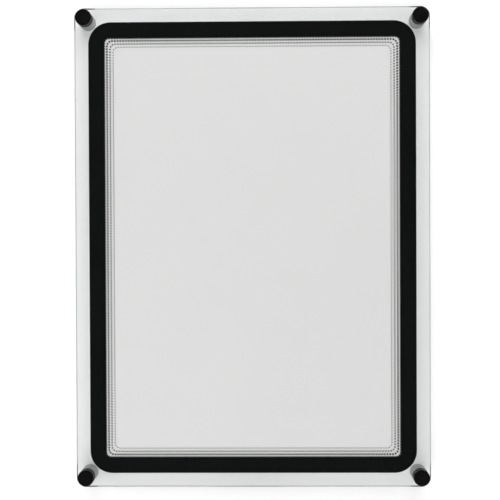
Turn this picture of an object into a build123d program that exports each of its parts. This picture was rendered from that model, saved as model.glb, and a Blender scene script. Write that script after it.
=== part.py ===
"""Edge-lit light table: two clear acrylic sheets on four corner stand-offs.

It lies flat, +Z up. X runs across it, Y along it, and -Y is the near edge,
where the user sits. The origin is the middle of its footprint, on the surface
that its foot pads stand on. All sizes are in millimetres.
"""
from build123d import *
from math import floor, pi
import os

# ---------------------------------------------------------------- driving sizes

# clear sheets and the printed border between them
sheet_width = 350.0
sheet_length = 473.0
sheet_corner_r = 9.5
cover_thickness = 3.0
edge_chamfer = 0.3
rim_width = 13.5          # clear rim outside the border
border_width = 16.2       # solid print, from its outer edge to the window
border_corner_r = 22.0
window_corner_r = 5.0
ink_thickness = 0.1

# corner stand-offs
post_inset = 9.5          # post axis from both edges of the sheet
post_r = 8.0              # cap and barrel
barrel_height = 19.2
barrel_chamfer = 0.4
barrel_floor = 2.5        # metal left under the threaded bore, above the pad's recess
washer_r = 7.8
washer_thickness = 0.8
cap_height = 3.5
cap_chamfer = 0.6
cap_washer_r = 6.9
cap_washer_thickness = 0.8
stud_r = 4.0
stud_in_cap = 2.2
stud_engagement = 8.0     # length of stud screwed into the barrel
stud_chamfer = 0.8
wall_screw_r = 2.25       # hole through the barrel's floor
pad_r = 6.8
pad_hole_r = 3.6
pad_thickness = 1.5
pad_recess = 0.7          # how far the pad is let into the barrel

# lamp pack in the cut-out of the frame sheet
seat_width = 7.0          # frame sheet that stays under the border, round the cut-out
cutout_corner_r = 3.0
reflector_thickness = 0.3
guide_thickness = 3.0
diffuser_thickness = 1.5
pack_headroom = 0.2       # air between the diffuser and the print
rail_thickness = 1.5
rail_end_gap = 5.5
tape_thickness = 0.2
strip_thickness = 1.0
strip_end_gap = 5.0       # rail that is left bare past each end of the strip
led_length = 3.5
led_depth = 0.8
led_pitch = 6.0
led_gap = 0.4             # air between the LEDs and the light guide
wall_gap = 0.1            # between a rail and the cut-out's wall
plate_thickness = 1.5
plate_margin = 0.5        # the plate's edge inside the border's edge

# back plate screws, countersunk
screw_r = 1.25
screw_head_r = 2.35
screw_socket_r = 0.8
screw_tip_cover = 1.5     # acrylic left over each screw tip
screws_along = 4          # on each long side
screws_across = 3         # on the far side; the near side has only the two at its ends

# terminal housing under the back plate
housing_width = 62.0
housing_depth = 34.0
housing_wall = 1.8
housing_floor = 1.5
housing_corner_r = 3.0
board_thickness = 1.4
board_gap = 0.3
board_headroom = 1.3      # over the board, for its screw heads
post_pillar_r = 2.6
board_screw_r = 0.9
board_screw_head_r = 1.8
board_screw_head = 0.9
board_screw_length = 5.0
ear_r = 4.5
ear_thickness = 3.0
ear_screw_r = 1.5
ear_screw_head_r = 2.8
ear_screw_head = 2.0
jack_width = 9.0
jack_height = 8.7
jack_length = 12.5
jack_collar_r = 4.0
jack_bore_r = 2.85
jack_bore_depth = 10.0
jack_pin_r = 1.05
jack_pin_setback = 0.5    # pin tip behind the mouth
jack_pin_chamfer = 0.3

# wires and their grommet
wire_r = 0.5
wire_spacing = 1.3
wire_bend_r = 1.6
wire_wall_gap = 0.4
grommet_wall = 0.6
grommet_flange = 1.2
grommet_flange_thickness = 0.5

# clearances
thread_gap = 0.05         # stud in the barrel's bore
fit_gap = 0.02            # fixed fits inside one piece of hardware
stud_hole_gap = 0.3       # stud in the sheets and washers
pack_gap = 0.5            # diffuser in the cut-out
part_gap = 0.1            # small parts beside each other
hole_gap = 0.2            # clearance holes and the collar's hole

# ---------------------------------------------------------------- worked-out sizes

border_outer_width = sheet_width - 2 * rim_width
border_outer_length = sheet_length - 2 * rim_width
window_width = border_outer_width - 2 * border_width
window_length = border_outer_length - 2 * border_width
cutout_width = border_outer_width - 2 * seat_width
cutout_length = border_outer_length - 2 * seat_width
frame_thickness = reflector_thickness + guide_thickness + diffuser_thickness + pack_headroom

# levels, from the table up
barrel_bottom = pad_thickness - pad_recess
barrel_top = barrel_bottom + barrel_height
frame_bottom = barrel_top + washer_thickness
frame_top = frame_bottom + frame_thickness
cover_bottom = frame_top + ink_thickness
cover_top = cover_bottom + cover_thickness
cap_bottom = cover_top + cap_washer_thickness
stud_bottom = barrel_top - stud_engagement
stud_top = cap_bottom + stud_in_cap
guide_bottom = frame_bottom + reflector_thickness
guide_top = guide_bottom + guide_thickness
plate_bottom = frame_bottom - plate_thickness

# channels beside the light guide, for the LEDs at its sides and the spacers at its ends
channel_width = wall_gap + rail_thickness + tape_thickness + strip_thickness + led_depth + led_gap
guide_width = cutout_width - 2 * channel_width
guide_length = cutout_length - 2 * channel_width
strip_bottom = frame_bottom + part_gap
strip_height = guide_top - part_gap - strip_bottom
rail_height = guide_top - part_gap - frame_bottom
rail_length = cutout_length - 2 * rail_end_gap
strip_length = rail_length - 2 * strip_end_gap
led_height = guide_thickness - 2 * part_gap
led_count = floor((strip_length - led_length) / led_pitch) + 1

# where things stand
corners = {
    "near_left": (-sheet_width / 2 + post_inset, -sheet_length / 2 + post_inset),
    "near_right": (sheet_width / 2 - post_inset, -sheet_length / 2 + post_inset),
    "far_left": (-sheet_width / 2 + post_inset, sheet_length / 2 - post_inset),
    "far_right": (sheet_width / 2 - post_inset, sheet_length / 2 - post_inset),
}
sides = {"left": -1, "right": 1}

screw_x = cutout_width / 2 + (seat_width - plate_margin) / 2
screw_y = cutout_length / 2 + (seat_width - plate_margin) / 2
screw_step_y = (cutout_length - 2 * border_corner_r) / (screws_along - 1)
screw_spots = [
    (side * screw_x, -cutout_length / 2 + border_corner_r + i * screw_step_y)
    for side in sides.values()
    for i in range(screws_along)
]
# the terminal housing takes up the middle of the near side, so that side has two screws only
screw_step_x = (cutout_width - 2 * border_corner_r) / (screws_across - 1)
screw_spots += [
    (-cutout_width / 2 + border_corner_r + i * screw_step_x, screw_y)
    for i in range(screws_across)
]
screw_spots += [(side * (cutout_width / 2 - border_corner_r), -screw_y) for side in sides.values()]

wire_lane_y = -cutout_length / 2 + wire_wall_gap + wire_r
slot_width = 2 * (wire_r + hole_gap + grommet_wall + part_gap)
slot_length = 6 * wire_spacing + 2 * (grommet_wall + part_gap)
housing_near = wire_lane_y - slot_width / 2 - grommet_flange - pack_gap - housing_wall
housing_y = housing_near + housing_depth / 2
board_width = housing_width - 2 * (housing_wall + board_gap)
board_depth = housing_depth - 2 * (housing_wall + board_gap)
housing_height = housing_floor + part_gap + jack_height + board_thickness + board_headroom
housing_bottom = plate_bottom - housing_height
board_top = plate_bottom - board_headroom
board_bottom = board_top - board_thickness
jack_axis_z = board_bottom - jack_height / 2
pillar_x = board_width / 2 - post_pillar_r - board_gap
ear_x = housing_width / 2 + ear_r


def write(piece, name):
    """Label a finished sub-part and write its STEP file."""
    piece.part.label = name
    export_step(piece.part, f"parts/{name}.step")


os.makedirs("parts", exist_ok=True)

# ---------------------------------------------------------------- sheets and print

# Cover sheet: clear acrylic over the whole face, held down by the caps.
with BuildPart() as cover_sheet:
    with BuildSketch(Plane.XY.offset(cover_bottom)):
        RectangleRounded(sheet_width, sheet_length, sheet_corner_r)
        with Locations(*corners.values()):
            Circle(stud_r + stud_hole_gap, mode=Mode.SUBTRACT)
    extrude(amount=cover_thickness)
    outlines = cover_sheet.faces().filter_by(Axis.Z).wires().sort_by(SortBy.LENGTH)[-2:]
    chamfer(outlines.edges(), edge_chamfer)
write(cover_sheet, "cover_sheet")

# Printed border: black ink on the back of the cover sheet, round the window.
with BuildPart() as printed_border:
    with BuildSketch(Plane.XY.offset(frame_top)):
        RectangleRounded(border_outer_width, border_outer_length, border_corner_r)
        RectangleRounded(window_width, window_length, window_corner_r, mode=Mode.SUBTRACT)
    extrude(amount=ink_thickness)
write(printed_border, "printed_border")

# Frame sheet: clear acrylic as thick as the lamp pack, which sits in its cut-out.
with BuildPart() as frame_sheet:
    with BuildSketch(Plane.XY.offset(frame_bottom)):
        RectangleRounded(sheet_width, sheet_length, sheet_corner_r)
        with Locations(*corners.values()):
            Circle(stud_r + stud_hole_gap, mode=Mode.SUBTRACT)
    extrude(amount=frame_thickness)
    outlines = frame_sheet.faces().filter_by(Axis.Z).wires().sort_by(SortBy.LENGTH)[-2:]
    chamfer(outlines.edges(), edge_chamfer)
    with BuildSketch(Plane.XY.offset(frame_bottom)):
        RectangleRounded(cutout_width, cutout_length, cutout_corner_r)
    extrude(amount=frame_thickness, mode=Mode.SUBTRACT)
    # tapped holes for the back plate's screws, from below
    with BuildSketch(Plane.XY.offset(frame_bottom)):
        with Locations(*screw_spots):
            Circle(screw_r + fit_gap)
    extrude(amount=frame_thickness - screw_tip_cover + part_gap, mode=Mode.SUBTRACT)
write(frame_sheet, "frame_sheet")

# ---------------------------------------------------------------- lamp pack

# Opal diffuser: the pale sheet that shows in the window, lying on the light guide.
with BuildPart() as opal_diffuser:
    with BuildSketch(Plane.XY.offset(guide_top)):
        RectangleRounded(cutout_width - 2 * pack_gap, cutout_length - 2 * pack_gap, cutout_corner_r)
    extrude(amount=diffuser_thickness)
write(opal_diffuser, "opal_diffuser")

# Light guide: clear sheet that the LEDs shine into from both sides.
with BuildPart() as light_guide:
    with BuildSketch(Plane.XY.offset(guide_bottom)):
        Rectangle(guide_width, guide_length)
    extrude(amount=guide_thickness)
write(light_guide, "light_guide")

# Reflector: white film between the light guide and the back plate.
with BuildPart() as reflector:
    with BuildSketch(Plane.XY.offset(frame_bottom)):
        Rectangle(guide_width, guide_length)
    extrude(amount=reflector_thickness)
write(reflector, "reflector")

# Back plate: aluminium, closes the cut-out from below and carries off the LEDs' heat.
with BuildPart() as back_plate:
    with BuildSketch(Plane.XY.offset(plate_bottom)):
        RectangleRounded(
            border_outer_width - 2 * plate_margin,
            border_outer_length - 2 * plate_margin,
            border_corner_r - plate_margin,
        )
        with Locations((0, wire_lane_y)):
            SlotOverall(slot_length, slot_width, mode=Mode.SUBTRACT)
        with Locations((-ear_x, housing_y), (ear_x, housing_y)):
            Circle(ear_screw_r + fit_gap, mode=Mode.SUBTRACT)
    extrude(amount=plate_thickness)
    with Locations(*[Location((x, y, plate_bottom), (180, 0, 0)) for x, y in screw_spots]):
        CounterSinkHole(screw_r + fit_gap, screw_head_r + fit_gap, plate_thickness, counter_sink_angle=90)
write(back_plate, "back_plate")

# Back plate screws: countersunk, flush with the plate's underside.
with BuildPart() as back_plate_screws:
    screw_length = plate_thickness + frame_thickness - screw_tip_cover
    with Locations(*[(x, y, plate_bottom) for x, y in screw_spots]):
        Cylinder(screw_r, screw_length, align=(Align.CENTER, Align.CENTER, Align.MIN))
        Cone(screw_head_r, screw_r, screw_head_r - screw_r, align=(Align.CENTER, Align.CENTER, Align.MIN))
    with BuildSketch(Plane.XY.offset(plate_bottom)):
        with Locations(*screw_spots):
            RegularPolygon(screw_socket_r, 6)
    extrude(amount=screw_socket_r, mode=Mode.SUBTRACT)
write(back_plate_screws, "back_plate_screws")


def channel_bar(side, inset, thickness, length, base, height):
    """A bar along Y in a side channel, with its outer face inset from the cut-out's wall."""
    x = side * (cutout_width / 2 - inset - thickness / 2)
    with BuildPart() as bar:
        with BuildSketch(Plane((x, 0, base))):
            Rectangle(thickness, length)
        extrude(amount=height)
    return bar


tape_inset = wall_gap + rail_thickness
strip_inset = tape_inset + tape_thickness
led_inset = strip_inset + strip_thickness
for name, side in sides.items():
    # LED rail: aluminium bar on edge, which passes the strip's heat to the back plate.
    rail = channel_bar(side, wall_gap, rail_thickness, rail_length, frame_bottom, rail_height)
    write(rail, f"led_rail_{name}")

    # Thermal tape between the rail and the strip.
    tape = channel_bar(side, tape_inset, tape_thickness, strip_length, strip_bottom, strip_height)
    write(tape, f"thermal_tape_{name}")

    # LED strip: the bare board.
    strip = channel_bar(side, strip_inset, strip_thickness, strip_length, strip_bottom, strip_height)
    write(strip, f"led_strip_{name}")

    # LEDs: one row of packages on the strip, facing the light guide.
    led_face = Plane(
        origin=(side * (cutout_width / 2 - led_inset), 0, guide_bottom + guide_thickness / 2),
        x_dir=(0, 1, 0),
        z_dir=(-side, 0, 0),
    )
    with BuildPart() as leds:
        with BuildSketch(led_face):
            with GridLocations(led_pitch, led_pitch, led_count, 1):
                Rectangle(led_length, led_height)
        extrude(amount=led_depth)
    write(leds, f"leds_{name}")

# Guide spacers: white foam that centres the light guide. The near one leaves room for the wires.
spacer_depths = {
    "near": channel_width - wire_wall_gap - 2 * wire_r - wire_wall_gap,
    "far": channel_width - part_gap,
}
for name, depth in spacer_depths.items():
    toward = -1 if name == "near" else 1
    with BuildPart() as spacer:
        with BuildSketch(Plane((0, toward * (guide_length + depth) / 2, strip_bottom))):
            Rectangle(guide_width - 2 * channel_width, depth)
        extrude(amount=strip_height)
    write(spacer, f"guide_spacer_{name}")

# ---------------------------------------------------------------- terminal housing

# Terminal housing: black moulded tray that closes against the back plate, with an ear at each side.
housing_floor_top = housing_bottom + housing_floor
with BuildPart() as terminal_housing:
    with BuildSketch(Plane((0, housing_y, housing_bottom))):
        RectangleRounded(housing_width, housing_depth, housing_corner_r)
    extrude(amount=housing_height)
    with BuildSketch(Plane((0, housing_y, plate_bottom - ear_thickness))):
        SlotOverall(2 * (ear_x + ear_r), 2 * ear_r)
    extrude(amount=ear_thickness)
    fillet(terminal_housing.faces().sort_by(Axis.Z)[0].edges(), housing_floor / 2)
    with BuildSketch(Plane((0, housing_y, housing_floor_top))):
        RectangleRounded(
            housing_width - 2 * housing_wall,
            housing_depth - 2 * housing_wall,
            housing_corner_r - housing_wall,
        )
    extrude(amount=housing_height, mode=Mode.SUBTRACT)
    # pillars for the board
    with BuildSketch(Plane((0, housing_y, housing_floor_top))):
        with Locations((-pillar_x, 0), (pillar_x, 0)):
            Circle(post_pillar_r)
    extrude(amount=board_bottom - housing_floor_top)
    with BuildSketch(Plane((0, housing_y, board_bottom))):
        with Locations((-pillar_x, 0), (pillar_x, 0)):
            Circle(board_screw_r + fit_gap)
    extrude(amount=-board_screw_length, mode=Mode.SUBTRACT)
    # holes in the ears, and the jack's mouth in the near wall
    with BuildSketch(Plane((0, housing_y, plate_bottom - ear_thickness))):
        with Locations((-ear_x, 0), (ear_x, 0)):
            Circle(ear_screw_r + hole_gap)
    extrude(amount=ear_thickness, mode=Mode.SUBTRACT)
    with BuildSketch(Plane(origin=(0, housing_near, jack_axis_z), z_dir=(0, 1, 0))):
        Circle(jack_collar_r + hole_gap)
    extrude(amount=housing_wall, mode=Mode.SUBTRACT)
write(terminal_housing, "terminal_housing")

# Housing screws: up through the ears into the back plate.
with BuildPart() as housing_screws:
    with BuildSketch(Plane((0, housing_y, plate_bottom - ear_thickness))):
        with Locations((-ear_x, 0), (ear_x, 0)):
            Circle(ear_screw_head_r)
    extrude(amount=-ear_screw_head)
    chamfer(housing_screws.faces().group_by(Axis.Z)[0].edges(), ear_screw_head / 4)
    with BuildSketch(Plane((0, housing_y, plate_bottom - ear_thickness))):
        with Locations((-ear_x, 0), (ear_x, 0)):
            Circle(ear_screw_r)
    extrude(amount=ear_thickness + plate_thickness - part_gap)
    with BuildSketch(Plane((0, housing_y, plate_bottom - ear_thickness - ear_screw_head))):
        with Locations((-ear_x, 0), (ear_x, 0)):
            RegularPolygon(ear_screw_r, 6)
    extrude(amount=ear_screw_head / 2, mode=Mode.SUBTRACT)
write(housing_screws, "housing_screws")

# Terminal board: carries the jack and the LED driver, screwed to the pillars.
with BuildPart() as terminal_board:
    with BuildSketch(Plane((0, housing_y, board_bottom))):
        RectangleRounded(board_width, board_depth, housing_corner_r - housing_wall)
        with Locations((-pillar_x, 0), (pillar_x, 0)):
            Circle(board_screw_r + hole_gap, mode=Mode.SUBTRACT)
    extrude(amount=board_thickness)
write(terminal_board, "terminal_board")

# Board screws: pan-headed, down through the board into the pillars.
with BuildPart() as board_screws:
    with BuildSketch(Plane((0, housing_y, board_top))):
        with Locations((-pillar_x, 0), (pillar_x, 0)):
            Circle(board_screw_head_r)
    extrude(amount=board_screw_head)
    chamfer(board_screws.faces().group_by(Axis.Z)[-1].edges(), board_screw_head / 3)
    with BuildSketch(Plane((0, housing_y, board_top))):
        with Locations((-pillar_x, 0), (pillar_x, 0)):
            Circle(board_screw_r)
    extrude(amount=-(board_screw_length + board_thickness - hole_gap))
write(board_screws, "board_screws")

# Driver coil: moulded power inductor on the board's underside.
coil_size, coil_height = 8.0, 4.5
driver_y = housing_y - coil_size / 2
with BuildPart() as driver_coil:
    with BuildSketch(Plane((-board_width / 4, driver_y, board_bottom))):
        RectangleRounded(coil_size, coil_size, coil_size / 5)
    extrude(amount=-coil_height)
    chamfer(driver_coil.faces().sort_by(Axis.Z)[0].edges(), coil_height / 10)
write(driver_coil, "driver_coil")

# Driver capacitor: aluminium can, hanging beside the coil.
capacitor_r, capacitor_height = 3.15, 7.0
with BuildPart() as driver_capacitor:
    with BuildSketch(Plane((board_width / 4, driver_y, board_bottom))):
        Circle(capacitor_r)
    extrude(amount=-capacitor_height)
    fillet(driver_capacitor.faces().sort_by(Axis.Z)[0].edges(), capacitor_r / 6)
write(driver_capacitor, "driver_capacitor")

# Driver chip: keeps the LEDs' current constant.
chip_width, chip_length, chip_height = 5.0, 4.0, 1.6
with BuildPart() as driver_chip:
    with BuildSketch(Plane((-board_width / 4, housing_y + coil_size, board_bottom))):
        Rectangle(chip_width, chip_length)
    extrude(amount=-chip_height)
    chamfer(driver_chip.faces().sort_by(Axis.Z)[0].edges(), chip_height / 8)
write(driver_chip, "driver_chip")

# DC jack: moulded shell whose collar stands in the housing's near wall.
jack_front = housing_near + housing_wall + part_gap
with BuildPart() as dc_jack:
    with BuildSketch(Plane((0, jack_front + jack_length / 2, board_bottom))):
        Rectangle(jack_width, jack_length)
    extrude(amount=-jack_height)
    with BuildSketch(Plane(origin=(0, housing_near, jack_axis_z), z_dir=(0, 1, 0))):
        Circle(jack_collar_r)
    extrude(amount=housing_wall + part_gap)
    with BuildSketch(Plane(origin=(0, housing_near, jack_axis_z), z_dir=(0, 1, 0))):
        Circle(jack_bore_r)
    extrude(amount=jack_bore_depth, mode=Mode.SUBTRACT)
write(dc_jack, "dc_jack")

# Jack pin: the centre contact, standing on the floor of the jack's bore.
with BuildPart() as dc_jack_pin:
    with BuildSketch(Plane(origin=(0, housing_near + jack_bore_depth, jack_axis_z), z_dir=(0, -1, 0))):
        Circle(jack_pin_r)
    extrude(amount=jack_bore_depth - jack_pin_setback)
    chamfer(dc_jack_pin.faces().sort_by(Axis.Y)[0].edges(), jack_pin_chamfer)
write(dc_jack_pin, "dc_jack_pin")

# Cable grommet: rubber lining of the plate's slot, with a flange below.
with BuildPart() as cable_grommet:
    with BuildSketch(Plane((0, wire_lane_y, plate_bottom))):
        SlotOverall(slot_length - 2 * fit_gap, slot_width - 2 * fit_gap)
    extrude(amount=plate_thickness)
    with BuildSketch(Plane((0, wire_lane_y, plate_bottom))):
        SlotOverall(slot_length + 2 * grommet_flange, slot_width + 2 * grommet_flange)
    extrude(amount=-grommet_flange_thickness)
    with BuildSketch(Plane((0, wire_lane_y, plate_bottom - grommet_flange_thickness))):
        SlotOverall(slot_length - 2 * grommet_wall, slot_width - 2 * grommet_wall)
    extrude(amount=plate_thickness + grommet_flange_thickness, mode=Mode.SUBTRACT)
write(cable_grommet, "cable_grommet")

# Wires: a red and a black one for each strip, up from the board, along the near channel and
# round to the strip's end. The black one turns off higher, and passes over the red one.
strip_x = cutout_width / 2 - strip_inset - strip_thickness / 2
wire_low = guide_bottom + (guide_thickness - wire_spacing) / 2
wires = {"red": (2 * wire_spacing, wire_low), "black": (wire_spacing, wire_low + wire_spacing)}
for name, side in sides.items():
    for colour, (start_x, level) in wires.items():
        with BuildPart() as wire:
            with BuildLine():
                route = FilletPolyline(
                    (side * start_x, wire_lane_y, board_top),
                    (side * start_x, wire_lane_y, level),
                    (side * strip_x, wire_lane_y, level),
                    (side * strip_x, -strip_length / 2, level),
                    radius=wire_bend_r,
                )
            with BuildSketch(Plane(origin=route @ 0, z_dir=route % 0)):
                Circle(wire_r)
            sweep(path=route)
        section_volume = pi * wire_r**2 * route.length
        print(f"wire_{colour}_{name}: {route.length:.1f} mm long, bends {wire_bend_r} mm,", end=" ")
        print(f"volume {wire.part.volume:.1f} mm3, section times length {section_volume:.1f} mm3")
        write(wire, f"wire_{colour}_{name}")

# ---------------------------------------------------------------- corner stand-offs

for name, (x, y) in corners.items():
    # Foot pad: rubber ring let into the barrel's lower end, open for a wall screw.
    with BuildPart() as foot_pad:
        with BuildSketch(Plane((x, y, 0))):
            Circle(pad_r)
            Circle(pad_hole_r, mode=Mode.SUBTRACT)
        extrude(amount=pad_thickness)
    write(foot_pad, f"foot_pad_{name}")

    # Barrel: satin aluminium post with a blind tapped bore and a screw hole through its floor.
    with BuildPart() as barrel:
        with BuildSketch(Plane((x, y, barrel_bottom))):
            Circle(post_r)
        extrude(amount=barrel_height)
        chamfer(barrel.edges(), barrel_chamfer)
        with BuildSketch(Plane((x, y, barrel_top))):
            Circle(stud_r + thread_gap)
        extrude(amount=-(barrel_height - pad_recess - barrel_floor), mode=Mode.SUBTRACT)
        with BuildSketch(Plane((x, y, barrel_bottom))):
            Circle(pad_r + part_gap)
        extrude(amount=pad_recess, mode=Mode.SUBTRACT)
        with BuildSketch(Plane((x, y, barrel_bottom))):
            Circle(wall_screw_r)
        extrude(amount=barrel_height / 2, mode=Mode.SUBTRACT)
    write(barrel, f"barrel_{name}")

    # Barrel washer: dark rubber ring between the barrel and the frame sheet.
    with BuildPart() as barrel_washer:
        with BuildSketch(Plane((x, y, barrel_top))):
            Circle(washer_r)
            Circle(stud_r + stud_hole_gap, mode=Mode.SUBTRACT)
        extrude(amount=washer_thickness)
    write(barrel_washer, f"barrel_washer_{name}")

    # Cap washer: thin clear ring that keeps the cap from marking the cover sheet.
    with BuildPart() as cap_washer:
        with BuildSketch(Plane((x, y, cover_top))):
            Circle(cap_washer_r)
            Circle(stud_r + thread_gap, mode=Mode.SUBTRACT)
        extrude(amount=cap_washer_thickness)
    write(cap_washer, f"cap_washer_{name}")

    # Cap: black disc with a blind hole for its stud.
    with BuildPart() as cap:
        with BuildSketch(Plane((x, y, cap_bottom))):
            Circle(post_r)
        extrude(amount=cap_height)
        chamfer(cap.faces().sort_by(Axis.Z)[-1].edges(), cap_chamfer)
        with BuildSketch(Plane((x, y, cap_bottom))):
            Circle(stud_r + fit_gap)
        extrude(amount=stud_in_cap, mode=Mode.SUBTRACT)
    write(cap, f"cap_{name}")

    # Stud: steel, fixed in the cap. Its thread is stood in for by a plain shank.
    with BuildPart() as stud:
        with BuildSketch(Plane((x, y, stud_bottom))):
            Circle(stud_r)
        extrude(amount=stud_top - stud_bottom)
        chamfer(stud.faces().sort_by(Axis.Z)[0].edges(), stud_chamfer)
    write(stud, f"stud_{name}")
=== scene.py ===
"""Looks of an edge-lit light table: an opal window in a black screen-printed border, between two clear
acrylic sheets that stand on four turned corner posts.

The pieces are made in the order of assembly, from the foot pads up to the caps, and the studio comes last.
Everything is in metres in the model's own frame: +Z is up, and the user sits at the -Y edge.
"""
import bmesh
import bpy
from math import cos, pi, radians, sin, tau
from mathutils import Matrix, Vector


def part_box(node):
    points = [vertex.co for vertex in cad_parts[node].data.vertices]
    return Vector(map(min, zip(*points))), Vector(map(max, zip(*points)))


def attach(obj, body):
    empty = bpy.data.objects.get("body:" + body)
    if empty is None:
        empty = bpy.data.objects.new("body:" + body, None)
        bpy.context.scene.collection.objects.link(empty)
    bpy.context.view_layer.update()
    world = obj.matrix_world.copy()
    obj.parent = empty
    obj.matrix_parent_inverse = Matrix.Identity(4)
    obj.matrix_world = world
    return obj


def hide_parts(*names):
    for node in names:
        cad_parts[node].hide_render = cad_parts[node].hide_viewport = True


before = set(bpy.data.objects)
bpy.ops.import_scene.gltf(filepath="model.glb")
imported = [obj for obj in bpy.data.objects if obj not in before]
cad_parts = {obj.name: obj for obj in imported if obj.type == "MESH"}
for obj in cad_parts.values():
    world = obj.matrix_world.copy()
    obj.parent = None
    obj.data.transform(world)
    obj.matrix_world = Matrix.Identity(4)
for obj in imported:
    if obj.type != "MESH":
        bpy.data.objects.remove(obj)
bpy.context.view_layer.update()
mm = 0.001

# ---------------------------------------------------------------- foot pads
# Four rings of black rubber, moulded with a soft edge and a fine non-slip grain, and let into the lower
# ends of the posts. The hole in each leaves room for a screw when the table hangs on a wall.


def clear_bench():
    """Deselect everything, so that the next operator acts on the piece in hand alone."""
    bpy.ops.object.select_all(action="DESELECT")


def take_up(name):
    """Name the primitive that was just added, and put its place and size into its mesh."""
    piece = bpy.context.object
    piece.name = name
    piece.data.name = name
    bpy.ops.object.transform_apply(location=True, rotation=True, scale=True)
    return piece


def open_for_edit():
    """Go into edit mode with every vertex of the piece in hand selected."""
    bpy.ops.object.mode_set(mode="EDIT")
    bpy.ops.mesh.select_mode(type="VERT")
    bpy.ops.mesh.select_all(action="SELECT")


def draw_outline(name, outline):
    """Draw a line through the (radius, height) points, on the plane through the Z axis and +X."""
    clear_bench()
    bpy.ops.mesh.primitive_plane_add(size=1)
    piece = take_up(name)
    open_for_edit()
    bpy.ops.mesh.merge(type="CENTER")
    at = Vector((0, 0, 0))
    for i, (radius, height) in enumerate(outline):
        step = Vector((radius, 0, height)) - at
        if i == 0:
            bpy.ops.transform.translate(value=step)
        else:
            bpy.ops.mesh.extrude_vertices_move(TRANSFORM_OT_translate={"value": step})
        at += step
    bpy.ops.object.mode_set(mode="OBJECT")
    return piece


def turned(name, outline, sides=96):
    """A piece turned on the lathe: its outline is spun round the Z axis."""
    piece = draw_outline(name, outline)
    open_for_edit()
    bpy.ops.mesh.spin(steps=sides, angle=tau, center=(0, 0, 0), axis=(0, 0, 1), use_auto_merge=False)
    bpy.ops.mesh.select_all(action="SELECT")
    bpy.ops.mesh.remove_doubles(threshold=0.002 * mm)
    bpy.ops.mesh.dissolve_degenerate(threshold=0.002 * mm)
    bpy.ops.mesh.normals_make_consistent(inside=False)
    bpy.ops.object.mode_set(mode="OBJECT")
    return piece


def apply_modifiers(piece):
    """Apply every modifier of the piece, in order."""
    clear_bench()
    piece.select_set(True)
    bpy.context.view_layer.objects.active = piece
    for modifier in list(piece.modifiers):
        bpy.ops.object.modifier_apply(modifier=modifier.name)


def ease_edges(piece, width, segments=3, sharper_than=30):
    """Round every edge that turns by more than the angle in degrees, and shade the rest smooth."""
    bevel = piece.modifiers.new("eased edges", "BEVEL")
    bevel.width = width
    bevel.segments = segments
    bevel.limit_method = "ANGLE"
    bevel.angle_limit = radians(sharper_than)
    apply_modifiers(piece)
    bpy.ops.object.shade_smooth_by_angle(angle=radians(sharper_than))


def feed(tree, socket, value):
    """Link a node's output to the socket, or set the socket to a plain value."""
    if isinstance(value, bpy.types.NodeSocket):
        tree.links.new(value, socket)
    else:
        socket.default_value = value


def place_node(tree, kind, settings=None, **inputs):
    """Add a node. Its settings are attributes, and its inputs are sockets by name, with _ for a space."""
    node = tree.nodes.new(kind)
    for name, value in (settings or {}).items():
        setattr(node, name, value)
    for name, value in inputs.items():
        feed(tree, node.inputs[name.replace("_", " ")], value)
    return node


def calculate(tree, operation, *values):
    """The result of a Math node."""
    node = place_node(tree, "ShaderNodeMath", {"operation": operation})
    for socket, value in zip(node.inputs, values):
        feed(tree, socket, value)
    return node.outputs[0]


def rescale(tree, value, low, high, new_low, new_high):
    """The value, taken from low..high to new_low..new_high and held within them."""
    inputs = {"Value": value, "From Min": low, "From Max": high, "To Min": new_low, "To Max": new_high}
    node = place_node(tree, "ShaderNodeMapRange")
    for name, number in inputs.items():
        feed(tree, node.inputs[name], number)
    return node.outputs["Result"]


def tint(tree, amount, colour, other):
    """A colour that goes from one to the other as the amount goes from 0 to 1."""
    node = place_node(tree, "ShaderNodeMix", {"data_type": "RGBA"})
    feed(tree, node.inputs["Factor"], amount)
    for socket, value in zip([s for s in node.inputs if s.type == "RGBA"], (colour, other)):
        feed(tree, socket, value if isinstance(value, bpy.types.NodeSocket) else (*value, 1.0))
    return [s for s in node.outputs if s.type == "RGBA"][0]


def stretch(tree, place, scale):
    """The place, stretched along its axes."""
    node = place_node(tree, "ShaderNodeMapping", Vector=place)
    node.inputs["Scale"].default_value = scale
    return node.outputs["Vector"]


def speckle(tree, place, size, detail=2.0, roughness=0.5):
    """Soft noise whose patches are about this size in metres, from 0 to 1."""
    scale = calculate(tree, "DIVIDE", 1.0, size) if isinstance(size, bpy.types.NodeSocket) else 1.0 / size
    texture = {"Scale": scale, "Detail": detail, "Roughness": roughness}
    return place_node(tree, "ShaderNodeTexNoise", Vector=place, **texture).outputs["Fac"]


def new_effect(name, inputs, outputs):
    """An empty node group with these inputs, by name and starting value, and these plain outputs."""
    effect = bpy.data.node_groups.new(name, "ShaderNodeTree")
    for socket, value in inputs.items():
        kind = "NodeSocketFloat" if isinstance(value, float) else "NodeSocketVector"
        effect.interface.new_socket(name=socket, in_out="INPUT", socket_type=kind).default_value = value
    for socket in outputs:
        effect.interface.new_socket(name=socket, in_out="OUTPUT", socket_type="NodeSocketFloat")
    return effect, effect.nodes.new("NodeGroupInput"), effect.nodes.new("NodeGroupOutput")


def use_effect(tree, effect, **inputs):
    """Place an effect in a finish, with its own values, and return its outputs."""
    return place_node(tree, "ShaderNodeGroup", {"node_tree": effect}, **inputs).outputs


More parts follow.
